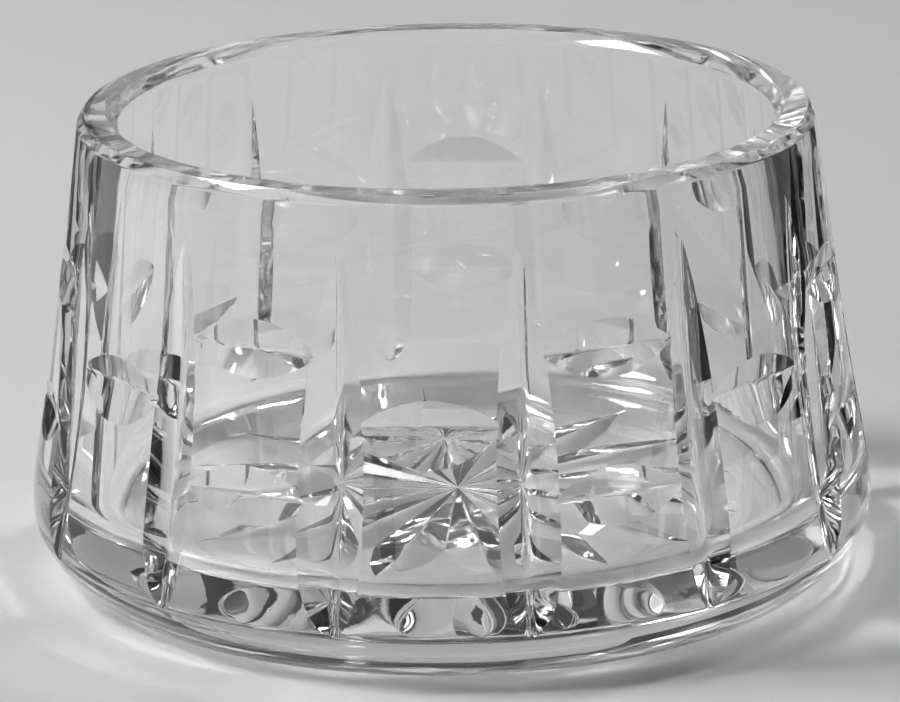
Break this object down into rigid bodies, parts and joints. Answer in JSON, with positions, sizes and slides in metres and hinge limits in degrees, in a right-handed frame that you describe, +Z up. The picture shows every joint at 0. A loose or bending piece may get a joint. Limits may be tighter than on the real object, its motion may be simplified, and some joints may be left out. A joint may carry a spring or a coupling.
{
  "type": "sugar bowl",
  "caption": "Lidless cut-crystal sugar bowl: thick tapered round body with upright mitre cuts, lens cuts on the panels between them, a flat ground rim and a star cut under the base.",
  "frame": {"origin": "on the bowl's axis, at the level of the table that the foot stands on", "axes": "+Z up along the bowl's axis, towards the open mouth; -Y is the front, the middle of a panel with a single lens cut"},
  "size_m": [0.1064, 0.1064, 0.059],
  "materials": {
    "crystal_glass": "clear colourless crystal, cut faces polished"
  },
  "bodies": {
    "root": {"glass_bowl": "crystal_glass"}
  },
  "joints": []
}
